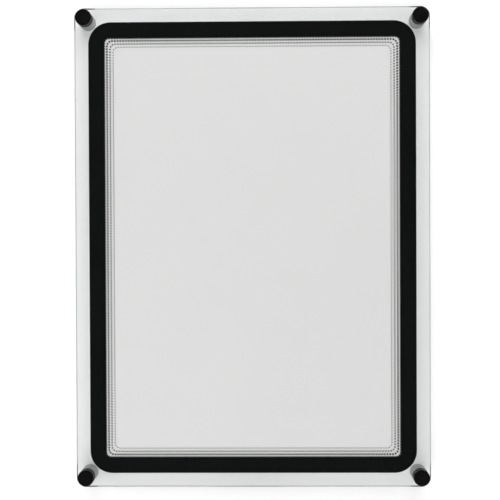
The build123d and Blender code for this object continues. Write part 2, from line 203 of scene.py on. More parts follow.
def new_finish(name, colour, roughness, **settings):
    """A finish with plain settings on its shader's sockets, and its tree, its shader and its place."""
    finish = bpy.data.materials.new(name)
    finish.use_nodes = True
    tree = finish.node_tree
    shader = tree.nodes["Principled BSDF"]
    settings = {"Base_Color": (*colour, 1.0), "Roughness": roughness, **settings}
    for socket, value in settings.items():
        shader.inputs[socket.replace("_", " ")].default_value = value
    place = place_node(tree, "ShaderNodeTexCoord").outputs["Object"]
    return finish, tree, shader, place


def relief(tree, shader, height, depth):
    """Raise the surface by the height, which goes from 0 to 1, times the depth in metres."""
    node = place_node(tree, "ShaderNodeBump", Height=height, Distance=depth, Strength=1.0)
    tree.links.new(node.outputs["Normal"], shader.inputs["Normal"])


# Grain and mottle: the fine skin of a moulding or a print, and the slow drift of its colour and gloss.
grain_effect, given, result = new_effect(
    "Grain and mottle", {"Place": (0, 0, 0), "Grain Size": 0.0003, "Mottle Size": 0.02}, ["Grain", "Mottle"]
)
fine = speckle(grain_effect, given.outputs["Place"], given.outputs["Grain Size"], 3.0, 0.6)
broad = speckle(grain_effect, given.outputs["Place"], given.outputs["Mottle Size"], 4.0, 0.55)
grain_effect.links.new(fine, result.inputs["Grain"])
grain_effect.links.new(broad, result.inputs["Mottle"])


def skinned(name, colour, other, gloss, grain_size, grain_depth, mottle_size, **settings):
    """A finish whose colour and roughness drift between two values over a fine grain."""
    finish, tree, shader, place = new_finish(name, colour, gloss[0], **settings)
    grain = use_effect(tree, grain_effect, Place=place, Grain_Size=grain_size, Mottle_Size=mottle_size)
    colours = tint(tree, rescale(tree, grain["Mottle"], 0.35, 0.65, 0.0, 1.0), colour, other)
    tree.links.new(colours, shader.inputs["Base Color"])
    slow = calculate(tree, "MULTIPLY", grain["Mottle"], 0.7)
    mixed = calculate(tree, "MULTIPLY_ADD", grain["Grain"], 0.3, slow)
    tree.links.new(rescale(tree, mixed, 0.35, 0.65, *gloss), shader.inputs["Roughness"])
    relief(tree, shader, grain["Grain"], grain_depth)
    return finish


def fit(piece, finish, body, slot, *nodes):
    """Give a piece its finish, and say which body it rides on and the CAD nodes it stands for. Its slot is
    not used.
    """
    piece.data.materials.clear()
    piece.data.materials.append(finish)
    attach(piece, body)
    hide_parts(*nodes)


posts = {}
for corner in ("near_left", "near_right", "far_left", "far_right"):
    post_low, post_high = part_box(f"barrel_{corner}")
    posts[corner] = Vector(((post_low.x + post_high.x) / 2, (post_low.y + post_high.y) / 2, 0))


def fit_at_posts(pattern, finish, body, slot, node):
    """Copy a piece made round the Z axis to each post. {} in a body's or node's name is the corner."""
    for corner, post in posts.items():
        piece = bpy.data.objects.new(f"{pattern.name}_{corner}", pattern.data.copy())
        piece.data.transform(Matrix.Translation(post))
        bpy.context.scene.collection.objects.link(piece)
        fit(piece, finish, body.format(corner), slot, node.format(corner))
    bpy.data.objects.remove(pattern)


def reach(node):
    """The outer radius, bottom and top of a round CAD node that stands upright."""
    low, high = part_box(node)
    return (high.x - low.x) / 2, low.z, high.z


pad_r, pad_bottom, pad_top = reach("foot_pad_near_left")
pad_hole_r = 3.6 * mm
pad_groove_r = 5.2 * mm
pad_groove = 0.25 * mm
pad_outline = [
    (pad_hole_r, pad_bottom),
    (pad_groove_r - 2 * pad_groove, pad_bottom),
    (pad_groove_r - pad_groove, pad_bottom + pad_groove),
    (pad_groove_r + pad_groove, pad_bottom + pad_groove),
    (pad_groove_r + 2 * pad_groove, pad_bottom),
    (pad_r, pad_bottom),
    (pad_r, pad_top),
    (pad_hole_r, pad_top),
    (pad_hole_r, pad_bottom),
]
foot_pad = turned("moulded_foot_pad", pad_outline)
ease_edges(foot_pad, 0.15 * mm)
pad_rubber = skinned(
    "Foot pad rubber", (0.022, 0.022, 0.023), (0.036, 0.035, 0.034), gloss=(0.62, 0.8),
    grain_size=0.18 * mm, grain_depth=0.02 * mm, mottle_size=4 * mm,
)
fit_at_posts(foot_pad, pad_rubber, "base", "pad_rubber", "foot_pad_{}")

# ---------------------------------------------------------------- barrels
# The four posts under the sheets: aluminium bar, turned, drilled and tapped from the top, counterbored
# below for the foot pad, and satin anodised, so that fine turning marks run round them.
barrel_r, barrel_bottom, barrel_top = reach("barrel_near_left")
barrel_chamfer = 0.4 * mm
bore_r = 4.05 * mm
bore_floor = 4.0 * mm
bore_chamfer = 0.3 * mm
recess_r = 6.9 * mm
recess_depth = 0.7 * mm
wall_screw_r = 2.25 * mm
barrel_outline = [
    (wall_screw_r, barrel_bottom + recess_depth),
    (recess_r, barrel_bottom + recess_depth),
    (recess_r, barrel_bottom),
    (barrel_r - barrel_chamfer, barrel_bottom),
    (barrel_r, barrel_bottom + barrel_chamfer),
    (barrel_r, barrel_top - barrel_chamfer),
    (barrel_r - barrel_chamfer, barrel_top),
    (bore_r + bore_chamfer, barrel_top),
    (bore_r, barrel_top - bore_chamfer),
    (bore_r, bore_floor),
    (wall_screw_r, bore_floor),
    (wall_screw_r, barrel_bottom + recess_depth),
]
barrel = turned("turned_barrel", barrel_outline)
ease_edges(barrel, 0.06 * mm, segments=2)

# Turning marks: rings on a turned piece's ends and lines round its side, centred on each post.
turning_effect, given, result = new_effect(
    "Turning marks",
    {"Place": (0, 0, 0), "Post": tuple(posts["far_right"]), "Spacing": 0.0001},
    ["Rings", "Radius"],
)
folded = place_node(turning_effect, "ShaderNodeVectorMath", {"operation": "ABSOLUTE"})
feed(turning_effect, folded.inputs[0], given.outputs["Place"])
centred = place_node(turning_effect, "ShaderNodeVectorMath", {"operation": "SUBTRACT"})
feed(turning_effect, centred.inputs[0], folded.outputs[0])
feed(turning_effect, centred.inputs[1], given.outputs["Post"])
axes = place_node(turning_effect, "ShaderNodeSeparateXYZ", Vector=centred.outputs[0])
across = calculate(turning_effect, "MULTIPLY", axes.outputs["X"], axes.outputs["X"])
radius = calculate(turning_effect, "MULTIPLY_ADD", axes.outputs["Y"], axes.outputs["Y"], across)
radius = calculate(turning_effect, "SQRT", radius)
tool_path = place_node(turning_effect, "ShaderNodeCombineXYZ", X=radius, Z=axes.outputs["Z"])
rings = speckle(turning_effect, tool_path.outputs[0], given.outputs["Spacing"], detail=3.0, roughness=0.6)
turning_effect.links.new(rings, result.inputs["Rings"])
turning_effect.links.new(radius, result.inputs["Radius"])

# Handling marks: the greasy smudges that fingers leave.
handling_effect, given, result = new_effect(
    "Handling marks", {"Place": (0, 0, 0), "Smudge Size": 0.03}, ["Smudge"]
)
patches = speckle(handling_effect, given.outputs["Place"], given.outputs["Smudge Size"], 5.0, 0.6)
handling_effect.links.new(rescale(handling_effect, patches, 0.48, 0.72, 0.0, 1.0), result.inputs["Smudge"])


def turned_metal(name, colour, stained, gloss, spacing, depth, metallic=1.0, **settings):
    """A turned and finished surface: turning marks in its gloss and relief, smudges in its colour."""
    finish, tree, shader, place = new_finish(name, colour, gloss[0], Metallic=metallic, **settings)
    marks = use_effect(tree, turning_effect, Place=place, Spacing=spacing)
    handled = use_effect(tree, handling_effect, Place=place, Smudge_Size=6 * mm)
    colours = tint(tree, calculate(tree, "MULTIPLY", handled["Smudge"], 0.6), colour, stained)
    tree.links.new(colours, shader.inputs["Base Color"])
    roughness = rescale(tree, marks["Rings"], 0.35, 0.65, *gloss)
    roughness = calculate(tree, "MULTIPLY_ADD", handled["Smudge"], 0.08, roughness)
    tree.links.new(roughness, shader.inputs["Roughness"])
    relief(tree, shader, marks["Rings"], depth)
    return finish


barrel_aluminium = turned_metal(
    "Satin anodised aluminium", (0.31, 0.313, 0.316), (0.23, 0.23, 0.234), gloss=(0.24, 0.36),
    spacing=0.12 * mm, depth=0.004 * mm,
)
fit_at_posts(barrel, barrel_aluminium, "base", "barrel_aluminium", "barrel_{}")

# ---------------------------------------------------------------- barrel washers
# Dark grey rubber rings, stamped from sheet, which keep the posts from marking the lower acrylic sheet.


def stamped_ring(name, node, hole_r, edge):
    """A flat ring the size of the CAD node, with eased edges."""
    outer_r, bottom, top = reach(node)
    corners = [(hole_r, bottom), (outer_r, bottom), (outer_r, top), (hole_r, top), (hole_r, bottom)]
    ring = turned(name, corners)
    ease_edges(ring, edge)
    return ring


barrel_washer = stamped_ring("stamped_barrel_washer", "barrel_washer_near_left", 4.3 * mm, 0.12 * mm)
washer_rubber = skinned(
    "Stamped washer rubber", (0.03, 0.031, 0.032), (0.05, 0.05, 0.05), gloss=(0.5, 0.7),
    grain_size=0.12 * mm, grain_depth=0.01 * mm, mottle_size=5 * mm,
)
fit_at_posts(barrel_washer, washer_rubber, "base", "washer_rubber", "barrel_washer_{}")

# ---------------------------------------------------------------- back plate
# Aluminium sheet, punched and countersunk, that closes the lamp pack from below and carries off its heat.
# Its long grain from the rolling mill runs the length of the table.
rolling_effect, given, result = new_effect(
    "Rolling grain", {"Place": (0, 0, 0), "Line Width": 0.0002, "Line Length": 0.03}, ["Lines"]
)
across_lines = calculate(rolling_effect, "DIVIDE", 1.0, given.outputs["Line Width"])
along_lines = calculate(rolling_effect, "DIVIDE", 1.0, given.outputs["Line Length"])
line_scale = {"X": across_lines, "Y": along_lines, "Z": across_lines}
grain_axes = place_node(rolling_effect, "ShaderNodeCombineXYZ", **line_scale)
combed = place_node(rolling_effect, "ShaderNodeVectorMath", {"operation": "MULTIPLY"})
feed(rolling_effect, combed.inputs[0], given.outputs["Place"])
feed(rolling_effect, combed.inputs[1], grain_axes.outputs[0])
lines = speckle(rolling_effect, combed.outputs[0], 1.0, detail=4.0, roughness=0.65)
rolling_effect.links.new(lines, result.inputs["Lines"])


def rolled_metal(name, colour, stained, gloss, line_width, line_length, depth):
    """Bare rolled or drawn aluminium, with its grain along Y."""
    finish, tree, shader, place = new_finish(name, colour, gloss[0], Metallic=1.0)
    grain = use_effect(tree, rolling_effect, Place=place, Line_Width=line_width, Line_Length=line_length)
    handled = use_effect(tree, handling_effect, Place=place, Smudge_Size=25 * mm)
    colours = tint(tree, calculate(tree, "MULTIPLY", handled["Smudge"], 0.7), colour, stained)
    tree.links.new(colours, shader.inputs["Base Color"])
    roughness = rescale(tree, grain["Lines"], 0.3, 0.7, *gloss)
    roughness = calculate(tree, "MULTIPLY_ADD", handled["Smudge"], 0.1, roughness)
    tree.links.new(roughness, shader.inputs["Roughness"])
    relief(tree, shader, grain["Lines"], depth)
    return finish


def dress(finish, slot_of, *nodes):
    """Give carried-over CAD nodes their finish. The slot_of argument is not used."""
    for node in nodes:
        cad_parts[node].material_slots[0].material = finish


plate_aluminium = rolled_metal(
    "Rolled plate aluminium", (0.74, 0.75, 0.76), (0.6, 0.6, 0.6), gloss=(0.3, 0.46),
    line_width=0.18 * mm, line_length=35 * mm, depth=0.006 * mm,
)
dress(plate_aluminium, "plate_aluminium", "back_plate")

# ---------------------------------------------------------------- frame sheet
# The lower sheet: clear cast acrylic, laser cut, with a cut-out in its middle for the lamp pack, blind
# tapped holes for the back plate's screws, and a polished chamfer round its edge.
sheet_corner_r = 9.5 * mm
sheet_chamfer = 0.3 * mm
stud_hole_r = 4.3 * mm


def select_where(kind, test):
    """In edit mode, select what passes the test. It is given the middle of each vertex, edge or face,
    and its direction: the run of an edge, and the outward normal of the others."""
    bpy.ops.mesh.select_mode(type=kind)
    bpy.ops.mesh.select_all(action="DESELECT")
    mesh = bmesh.from_edit_mesh(bpy.context.object.data)
    for part in {"VERT": mesh.verts, "EDGE": mesh.edges, "FACE": mesh.faces}[kind]:
        if kind == "VERT":
            chosen = test(part.co, part.normal)
        elif kind == "EDGE":
            start, end = [vert.co for vert in part.verts]
            chosen = test((start + end) / 2, (end - start).normalized())
        else:
            chosen = test(part.calc_center_median(), part.normal)
        part.select_set(chosen)
    bmesh.update_edit_mesh(bpy.context.object.data)


def rounded_block(name, low, high, corner_r, segments=16):
    """A block from corner to corner, with its four upright edges rounded."""
    clear_bench()
    bpy.ops.mesh.primitive_cube_add(size=1, location=(low + high) / 2, scale=high - low)
    block = take_up(name)
    bpy.ops.object.mode_set(mode="EDIT")
    select_where("EDGE", lambda middle, run: abs(run.z) > 0.9)
    bpy.ops.mesh.bevel(offset=corner_r, segments=segments, affect="EDGES")
    bpy.ops.object.mode_set(mode="OBJECT")
    return block


def drill_bit(x, y, radius, bottom, top, sides=64):
    """A round cutter that stands upright at this place."""
    clear_bench()
    middle = (x, y, (bottom + top) / 2)
    bpy.ops.mesh.primitive_cylinder_add(vertices=sides, radius=radius, depth=top - bottom, location=middle)
    return take_up("drill_bit")


def join(pieces):
    """Join pieces into the first one."""
    bpy.context.view_layer.update()
    clear_bench()
    for piece in pieces:
        piece.select_set(True)
    bpy.context.view_layer.objects.active = pieces[0]
    bpy.ops.object.join()
    return pieces[0]


def combine(piece, tools, operation):
    """Cut the tools out of the piece, or weld them to it, with one exact boolean."""
    tool = join(tools)
    boolean = piece.modifiers.new("cut", "BOOLEAN")
    boolean.operation = operation
    boolean.solver = "EXACT"
    boolean.object = tool
    apply_modifiers(piece)
    bpy.data.objects.remove(tool)


def sheet_blank(name, node):
    """An acrylic sheet the size of the CAD node, with chamfered edges and a hole for each stud."""
    low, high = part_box(node)
    sheet = rounded_block(name, low, high, sheet_corner_r)
    bpy.ops.object.mode_set(mode="EDIT")
    select_where("EDGE", lambda middle, run: abs(run.z) < 0.1)
    bpy.ops.mesh.bevel(offset=sheet_chamfer, segments=1, affect="EDGES")
    bpy.ops.object.mode_set(mode="OBJECT")
    bits = [drill_bit(post.x, post.y, stud_hole_r, low.z - mm, high.z + mm) for post in posts.values()]
    return sheet, bits


def clear_acrylic(name, colour):
    """Clear sheet: smudges on its faces, faint cutter lines on its edges. It casts only a thin shadow."""
    finish, tree, shader, place = new_finish(name, colour, 0.0, IOR=1.49, Transmission_Weight=1.0)
    facing = place_node(tree, "ShaderNodeTexCoord").outputs["Normal"]
    upright = place_node(tree, "ShaderNodeSeparateXYZ", Vector=facing).outputs["Z"]
    edge = rescale(tree, calculate(tree, "ABSOLUTE", upright), 0.5, 0.8, 1.0, 0.0)
    handled = use_effect(tree, handling_effect, Place=place, Smudge_Size=40 * mm)
    cutter = speckle(tree, stretch(tree, place, (1.0, 1.0, 0.05)), 0.35 * mm, detail=2.0)
    smudged = calculate(tree, "MULTIPLY", handled["Smudge"], 0.012)
    cut = calculate(tree, "MULTIPLY", edge, rescale(tree, cutter, 0.4, 0.6, 0.3, 0.45))
    tree.links.new(calculate(tree, "ADD", smudged, cut), shader.inputs["Roughness"])
    relief(tree, shader, calculate(tree, "MULTIPLY", edge, cutter), 0.004 * mm)
    rays = place_node(tree, "ShaderNodeLightPath").outputs
    open_way = place_node(tree, "ShaderNodeBsdfTransparent", Color=(0.965, 0.968, 0.966, 1.0))
    surface = shader
    for ray in ("Is Shadow Ray", "Is Diffuse Ray"):
        split = place_node(tree, "ShaderNodeMixShader", Fac=rays[ray])
        tree.links.new(surface.outputs[0], split.inputs[1])
        tree.links.new(open_way.outputs[0], split.inputs[2])
        surface = split
    tree.links.new(surface.outputs[0], tree.nodes["Material Output"].inputs["Surface"])
    return finish


frame_sheet, frame_bits = sheet_blank("cut_frame_sheet", "frame_sheet")
frame_low, frame_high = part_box("frame_sheet")
diffuser_low, diffuser_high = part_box("opal_diffuser")
cutout_gap = 0.5 * mm
cutout_corner_r = 3 * mm
cutout_low = Vector((diffuser_low.x - cutout_gap, diffuser_low.y - cutout_gap, frame_low.z - mm))
cutout_high = Vector((diffuser_high.x + cutout_gap, diffuser_high.y + cutout_gap, frame_high.z + mm))
frame_bits.append(rounded_block("cutout_cutter", cutout_low, cutout_high, cutout_corner_r, segments=8))

# the back plate's screws, spaced along each long side, the far side, and the ends of the near side
border_corner_r = 22 * mm
screws_along = 4
screw_head_r = 2.35 * mm
screws_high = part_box("back_plate_screws")[1]
screw_x = screws_high.x - screw_head_r
screw_y = screws_high.y - screw_head_r
screw_end_x = cutout_high.x - border_corner_r
screw_end_y = cutout_high.y - border_corner_r
screw_rows = [screw_end_y * (2 * i / (screws_along - 1) - 1) for i in range(screws_along)]
screw_spots = [(side * screw_x, y) for side in (-1, 1) for y in screw_rows]
screw_spots += [(screw_end_x * i, screw_y) for i in (-1, 0, 1)]
screw_spots += [(screw_end_x * i, -screw_y) for i in (-1, 1)]
screw_hole_r = 1.27 * mm
screw_hole_top = screws_high.z + 0.1 * mm
for x, y in screw_spots:
    frame_bits.append(drill_bit(x, y, screw_hole_r, frame_low.z - mm, screw_hole_top, sides=24))
combine(frame_sheet, frame_bits, "DIFFERENCE")
clear_bench()
frame_sheet.select_set(True)
bpy.ops.object.shade_smooth_by_angle(angle=radians(25))
sheet_acrylic = clear_acrylic("Clear cast acrylic", (0.982, 0.99, 0.986))
fit(frame_sheet, sheet_acrylic, "base", "clear_acrylic", "frame_sheet")

# ---------------------------------------------------------------- reflector, light guide and diffuser
# The lamp pack: white polyester film, a clear guide with a printed dot pattern on its back, and an opal
# acrylic diffuser with a satin face, laid on each other in the cut-out.
white_film = skinned(
    "Reflector film", (0.86, 0.87, 0.88), (0.82, 0.83, 0.84), gloss=(0.25, 0.4),
    grain_size=0.5 * mm, grain_depth=0.003 * mm, mottle_size=30 * mm,
)
dress(white_film, "white_film", "reflector")



def flat_cells(tree, place, size, randomness):
    """How far each point lies from the middle of its cell, on a flat pattern of cells this size."""
    flat = {"voronoi_dimensions": "2D"}
    node = place_node(tree, "ShaderNodeTexVoronoi", flat, Vector=place, Scale=1 / size)
    node.inputs["Randomness"].default_value = randomness
    return node.outputs["Distance"]


guide_acrylic, tree, shader, place = new_finish(
    "Dotted guide acrylic", (0.985, 0.99, 0.99), 0.02, IOR=1.49, Transmission_Weight=1.0
)
guide_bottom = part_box("light_guide")[0].z
dot_pitch = 1.5 * mm
dots = rescale(tree, flat_cells(tree, place, dot_pitch, 0.0), 0.28, 0.34, 1.0, 0.0)
height = place_node(tree, "ShaderNodeSeparateXYZ", Vector=place).outputs["Z"]
on_back = rescale(tree, height, guide_bottom, guide_bottom + 0.05 * mm, 1.0, 0.0)
printed = calculate(tree, "MULTIPLY", dots, on_back)
tree.links.new(tint(tree, printed, (0.985, 0.99, 0.99), (0.8, 0.8, 0.8)), shader.inputs["Base Color"])
tree.links.new(rescale(tree, printed, 0.0, 1.0, 0.02, 0.7), shader.inputs["Roughness"])
relief(tree, shader, printed, 0.01 * mm)
dress(guide_acrylic, "guide_acrylic", "light_guide")

opal_acrylic = skinned(
    "Opal satin acrylic", (0.765, 0.757, 0.757), (0.755, 0.747, 0.747), gloss=(0.38, 0.5),
    grain_size=0.15 * mm, grain_depth=0.004 * mm, mottle_size=90 * mm,
)
dress(opal_acrylic, "opal_acrylic", "opal_diffuser")

# ---------------------------------------------------------------- rails, tape and strips
# On each side of the guide an aluminium bar stands on edge in its channel. Grey thermal tape holds the
# strip to it, a bare white board with gilt pads.
rail_aluminium = rolled_metal(
    "Drawn rail aluminium", (0.7, 0.71, 0.72), (0.58, 0.58, 0.58), gloss=(0.28, 0.42),
    line_width=0.12 * mm, line_length=60 * mm, depth=0.004 * mm,
)
dress(rail_aluminium, "rail_aluminium", "led_rail_left", "led_rail_right")

thermal_tape = skinned(
    "Thermal tape", (0.42, 0.43, 0.45), (0.36, 0.37, 0.39), gloss=(0.55, 0.75),
    grain_size=0.2 * mm, grain_depth=0.01 * mm, mottle_size=8 * mm,
)
dress(thermal_tape, "thermal_tape", "thermal_tape_left", "thermal_tape_right")

led_pitch = 6 * mm
white_board, tree, shader, place = new_finish("White board lacquer", (0.85, 0.85, 0.83), 0.35)
grain = use_effect(tree, grain_effect, Place=place, Grain_Size=0.2 * mm, Mottle_Size=15 * mm)
along = place_node(tree, "ShaderNodeSeparateXYZ", Vector=place).outputs["Y"]
cycle = calculate(tree, "PINGPONG", along, led_pitch / 2)
pads = rescale(tree, cycle, 0.35 * led_pitch, 0.37 * led_pitch, 0.0, 1.0)
lacquer = tint(tree, grain["Mottle"], (0.87, 0.87, 0.85), (0.8, 0.8, 0.77))
tree.links.new(tint(tree, pads, lacquer, (0.83, 0.6, 0.3)), shader.inputs["Base Color"])
tree.links.new(calculate(tree, "MULTIPLY", pads, 0.9), shader.inputs["Metallic"])
tree.links.new(rescale(tree, grain["Grain"], 0.3, 0.7, 0.3, 0.45), shader.inputs["Roughness"])
relief(tree, shader, calculate(tree, "SUBTRACT", grain["Grain"], pads), 0.01 * mm)
dress(white_board, "white_board", "led_strip_left", "led_strip_right")

# ---------------------------------------------------------------- LEDs
# A row of surface-mount packages on each strip, facing the guide: a white moulded cup, filled nearly to
# its rim with yellow phosphor resin.
led_length = 3.5 * mm
cup_wall = 0.45 * mm
cup_depth = 0.15 * mm
led_white = skinned(
    "LED cup", (0.86, 0.86, 0.84), (0.82, 0.82, 0.8), gloss=(0.35, 0.5),
    grain_size=0.2 * mm, grain_depth=0.004 * mm, mottle_size=4 * mm,
)
led_phosphor = skinned(
    "LED phosphor", (0.85, 0.62, 0.12), (0.8, 0.56, 0.1), gloss=(0.25, 0.4),
    grain_size=0.15 * mm, grain_depth=0.01 * mm, mottle_size=2 * mm,
)
for side, facing in {"left": 1, "right": -1}.items():
    row_low, row_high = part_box(f"leds_{side}")
    first_high = Vector((row_high.x, row_low.y + led_length, row_high.z))
    clear_bench()
    bpy.ops.mesh.primitive_cube_add(size=1, location=(row_low + first_high) / 2, scale=first_high - row_low)
    led_row = take_up(f"soldered_leds_{side}")
    led_row.data.materials.append(led_white)
    led_row.data.materials.append(led_phosphor)
    bpy.ops.object.mode_set(mode="EDIT")
    select_where("FACE", lambda middle, normal: normal.x * facing > 0.9)
    bpy.ops.mesh.inset(thickness=cup_wall)
    bpy.ops.transform.translate(value=(-facing * cup_depth, 0, 0))
    led_row.active_material_index = 1
    bpy.ops.object.material_slot_assign()
    bpy.ops.object.mode_set(mode="OBJECT")
    repeat = led_row.modifiers.new("row", "ARRAY")
    repeat.count = round((row_high.y - row_low.y - led_length) / led_pitch) + 1
    repeat.use_relative_offset = False
    repeat.use_constant_offset = True
    repeat.constant_offset_displace = (0, led_pitch, 0)
    apply_modifiers(led_row)
    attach(led_row, "base")
    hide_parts(f"leds_{side}")

# ---------------------------------------------------------------- guide spacers
# Strips of white closed-cell foam at the ends of the guide, cut from sheet, which centre it and give way
# when it grows warm.
white_foam, tree, shader, place = new_finish("Closed-cell foam", (0.8, 0.8, 0.78), 0.85)
foam_cells_with_pit_shade = place_node(tree, "ShaderNodeTexVoronoi", Vector=place, Scale=1 / (0.45 * mm)).outputs["Distance"]
grain = use_effect(tree, grain_effect, Place=place, Grain_Size=0.2 * mm, Mottle_Size=12 * mm)
# The colour darkens towards the middle of each cut cell, where the relief sinks: painted shade in the cell
# hollows, over the cells' real relief.
tree.links.new(tint(tree, foam_cells_with_pit_shade, (0.7, 0.7, 0.68), (0.84, 0.84, 0.82)), shader.inputs["Base Color"])
tree.links.new(rescale(tree, grain["Grain"], 0.3, 0.7, 0.75, 0.95), shader.inputs["Roughness"])
relief(tree, shader, foam_cells_with_pit_shade, 0.06 * mm)
dress(white_foam, "white_foam", "guide_spacer_near", "guide_spacer_far")

# ---------------------------------------------------------------- back plate screws
# Thirteen countersunk machine screws with a hexagon socket, blackened steel, driven up through the plate
# into the tapped holes of the frame sheet.


def threaded_rod(name, crest_r, pitch, bottom, top, end_chamfer, sides=48):
    """A rod round the Z axis with a right-hand thread from end to end, chamfered at its lower end."""
    thread_depth = 0.6134 * pitch
    root_r = crest_r - thread_depth
    sunk_r = root_r - 0.1 * pitch
    first = bottom - pitch
    ridge_section = [
        (sunk_r, first),
        (crest_r, first + 0.42 * pitch),
        (crest_r, first + 0.54 * pitch),
        (sunk_r, first + 0.96 * pitch),
        (sunk_r, first),
    ]
    ridge = draw_outline("thread_ridge", ridge_section)
    open_for_edit()
    bpy.ops.mesh.remove_doubles(threshold=0.002 * mm)
    bpy.ops.object.mode_set(mode="OBJECT")
    screw = ridge.modifiers.new("thread", "SCREW")
    screw.screw_offset = pitch
    screw.iterations = round((top - bottom) / pitch) + 2
    screw.steps = sides
    screw.render_steps = sides
    apply_modifiers(ridge)
    bpy.ops.object.mode_set(mode="EDIT")
    bpy.ops.mesh.select_mode(type="EDGE")
    bpy.ops.mesh.select_all(action="SELECT")
    bpy.ops.mesh.fill_holes(sides=4)
    bpy.ops.mesh.select_all(action="SELECT")
    bpy.ops.mesh.normals_make_consistent(inside=False)
    bpy.ops.object.mode_set(mode="OBJECT")
    envelope = [
        (0, bottom),
        (crest_r - end_chamfer, bottom),
        (crest_r + 0.1 * pitch, bottom + end_chamfer + 0.1 * pitch),
        (crest_r + 0.1 * pitch, top),
        (0, top),
    ]
    combine(ridge, [turned("thread_envelope", envelope, sides)], "INTERSECT")
    core_chamfer = max(end_chamfer - crest_r + root_r, 0.1 * end_chamfer)
    core = [
        (0, bottom),
        (root_r - core_chamfer, bottom),
        (root_r, bottom + core_chamfer),
        (root_r, top),
        (0, top),
    ]
    return join([turned(name, core, sides), ridge])


socket_r = 0.8 * mm
shank_r = 1.25 * mm
shank_pitch = 0.45 * mm
shank_chamfer = 0.3 * mm
head_rim = 0.08 * mm
neck = 0.3 * mm
head_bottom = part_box("back_plate_screws")[0].z
cone_top = head_bottom + screw_head_r - shank_r
head_outline = [
    (0, head_bottom),
    (screw_head_r, head_bottom),
    (screw_head_r, head_bottom + head_rim),
    (shank_r, cone_top + head_rim),
    (shank_r, cone_top + neck),
    (0, cone_top + neck),
]
plate_screw = turned("driven_plate_screw", head_outline, sides=36)
hexagon = drill_bit(0, 0, socket_r, head_bottom - mm, head_bottom + socket_r, sides=6)
combine(plate_screw, [hexagon], "DIFFERENCE")
shank = threaded_rod("screw_shank", shank_r, shank_pitch, -screws_high.z, -cone_top, shank_chamfer, 18)
shank.scale = (1, -1, -1)
clear_bench()
shank.select_set(True)
bpy.context.view_layer.objects.active = shank
take_up("screw_shank")
plate_screw = join([plate_screw, shank])
clear_bench()
plate_screw.select_set(True)
bpy.ops.object.shade_smooth_by_angle(angle=radians(25))
copies = []
for x, y in screw_spots:
    copy = bpy.data.objects.new("plate_screw_copy", plate_screw.data.copy())
    copy.data.transform(Matrix.Translation((x, y, 0)))
    bpy.context.scene.collection.objects.link(copy)
    copies.append(copy)
bpy.data.objects.remove(plate_screw)
plate_screws = join(copies)
plate_screws.name = "driven_plate_screws"
black_steel = skinned(
    "Blackened steel", (0.035, 0.035, 0.038), (0.06, 0.055, 0.05), gloss=(0.32, 0.5),
    grain_size=0.15 * mm, grain_depth=0.004 * mm, mottle_size=3 * mm, Metallic=0.8,
)
fit(plate_screws, black_steel, "base", "black_steel", "back_plate_screws")

# ---------------------------------------------------------------- terminal housing
# A black tray under the near edge, moulded in ABS with a spark-eroded face. Zinc-plated screws go up
# through its two ears, and a rubber grommet lines the slot that the wires take through the plate.
black_abs = skinned(
    "Moulded black ABS", (0.016, 0.016, 0.017), (0.024, 0.024, 0.025), gloss=(0.42, 0.62),
    grain_size=0.22 * mm, grain_depth=0.018 * mm, mottle_size=18 * mm,
)
dress(black_abs, "black_abs", "terminal_housing")

zinc_steel = skinned(
    "Zinc-plated steel", (0.6, 0.61, 0.63), (0.5, 0.49, 0.46), gloss=(0.22, 0.38),
    grain_size=0.3 * mm, grain_depth=0.004 * mm, mottle_size=2 * mm, Metallic=1.0,
)
dress(zinc_steel, "zinc_steel", "housing_screws", "board_screws")

grommet_rubber = skinned(
    "Grommet rubber", (0.02, 0.02, 0.02), (0.032, 0.032, 0.032), gloss=(0.55, 0.75),
    grain_size=0.15 * mm, grain_depth=0.01 * mm, mottle_size=3 * mm,
)
dress(grommet_rubber, "grommet_rubber", "cable_grommet")

# ---------------------------------------------------------------- terminal board
# Green fibreglass board with tracks under its lacquer. It carries the driver's coil, capacitor and chip
# and the jack, a black nylon shell with a nickel-plated centre pin.
green_board, tree, shader, place = new_finish("Green board lacquer", (0.012, 0.11, 0.045), 0.3)
grain = use_effect(tree, grain_effect, Place=place, Grain_Size=0.25 * mm, Mottle_Size=6 * mm)
weave = place_node(tree, "ShaderNodeTexBrick", Vector=place, Scale=1 / (3.2 * mm))
weave.inputs["Mortar Size"].default_value = 0.035
tracks = weave.outputs["Fac"]
tree.links.new(tint(tree, tracks, (0.01, 0.1, 0.04), (0.03, 0.2, 0.08)), shader.inputs["Base Color"])
tree.links.new(rescale(tree, grain["Grain"], 0.3, 0.7, 0.22, 0.36), shader.inputs["Roughness"])
relief(tree, shader, calculate(tree, "MULTIPLY_ADD", grain["Grain"], 0.2, tracks), 0.02 * mm)
dress(green_board, "green_board", "terminal_board")

coil_ferrite = skinned(
    "Moulded ferrite", (0.05, 0.05, 0.052), (0.08, 0.08, 0.08), gloss=(0.5, 0.7),
    grain_size=0.1 * mm, grain_depth=0.012 * mm, mottle_size=2 * mm,
)
dress(coil_ferrite, "coil_ferrite", "driver_coil")

capacitor_can = skinned(
    "Aluminium can", (0.72, 0.73, 0.74), (0.66, 0.66, 0.67), gloss=(0.2, 0.32),
    grain_size=0.3 * mm, grain_depth=0.002 * mm, mottle_size=3 * mm, Metallic=1.0,
)
dress(capacitor_can, "capacitor_can", "driver_capacitor")

chip_epoxy = skinned(
    "Chip epoxy", (0.02, 0.02, 0.021), (0.03, 0.03, 0.03), gloss=(0.45, 0.6),
    grain_size=0.08 * mm, grain_depth=0.006 * mm, mottle_size=1.5 * mm,
)
dress(chip_epoxy, "chip_epoxy", "driver_chip")

jack_nylon = skinned(
    "Jack nylon", (0.012, 0.012, 0.013), (0.02, 0.02, 0.021), gloss=(0.3, 0.45),
    grain_size=0.2 * mm, grain_depth=0.006 * mm, mottle_size=5 * mm,
)
dress(jack_nylon, "jack_nylon", "dc_jack")

